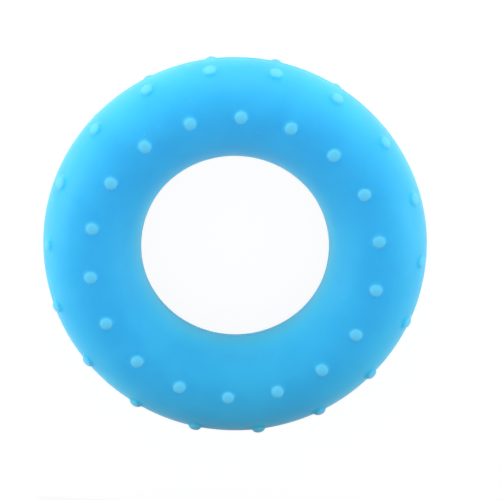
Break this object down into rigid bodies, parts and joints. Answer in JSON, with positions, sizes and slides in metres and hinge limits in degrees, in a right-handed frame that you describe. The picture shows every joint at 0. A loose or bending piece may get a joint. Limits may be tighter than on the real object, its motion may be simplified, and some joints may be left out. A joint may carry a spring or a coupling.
{
  "type": "hand grip strengthener",
  "caption": "Soft silicone hand grip ring with massage nubs, squeezed between palm and fingers; it springs back when let go.",
  "frame": {"origin": "centre of the ring, halfway through its thickness", "axes": "+Z along the ring's axis, out of the front face; +Y from the palm side to the finger side, so a squeeze moves the finger side along -Y; +X to the right seen from the front"},
  "size_m": [0.07, 0.07, 0.0196],
  "materials": {
    "ring_silicone": "matte",
    "nub_silicone": "matte"
  },
  "bodies": {
    "palm_body": {"palm_side": "ring_silicone", "left_flank": "ring_silicone", "right_flank": "ring_silicone", "palm_front_face_nubs": "nub_silicone", "palm_front_shoulder_nubs": "nub_silicone", "palm_rear_shoulder_nubs": "nub_silicone", "palm_rear_face_nubs": "nub_silicone", "left_front_face_nubs": "nub_silicone", "left_front_shoulder_nubs": "nub_silicone", "left_rear_shoulder_nubs": "nub_silicone", "left_rear_face_nubs": "nub_silicone", "right_front_face_nubs": "nub_silicone", "right_front_shoulder_nubs": "nub_silicone", "right_rear_shoulder_nubs": "nub_silicone", "right_rear_face_nubs": "nub_silicone"},
    "finger_body": {"finger_side": "ring_silicone", "finger_front_face_nubs": "nub_silicone", "finger_front_shoulder_nubs": "nub_silicone", "finger_rear_shoulder_nubs": "nub_silicone", "finger_rear_face_nubs": "nub_silicone"}
  },
  "joints": [
    {"name": "squeeze", "type": "slide", "parent": "palm_body", "child": "finger_body", "axis": [0, -1, 0], "range_m": [0, 0.02], "stiffness_N_per_m": 6600, "deforming": ["left_flank", "right_flank", "left_front_face_nubs", "left_front_shoulder_nubs", "left_rear_shoulder_nubs", "left_rear_face_nubs", "right_front_face_nubs", "right_front_shoulder_nubs", "right_rear_shoulder_nubs", "right_rear_face_nubs"]}
  ]
}
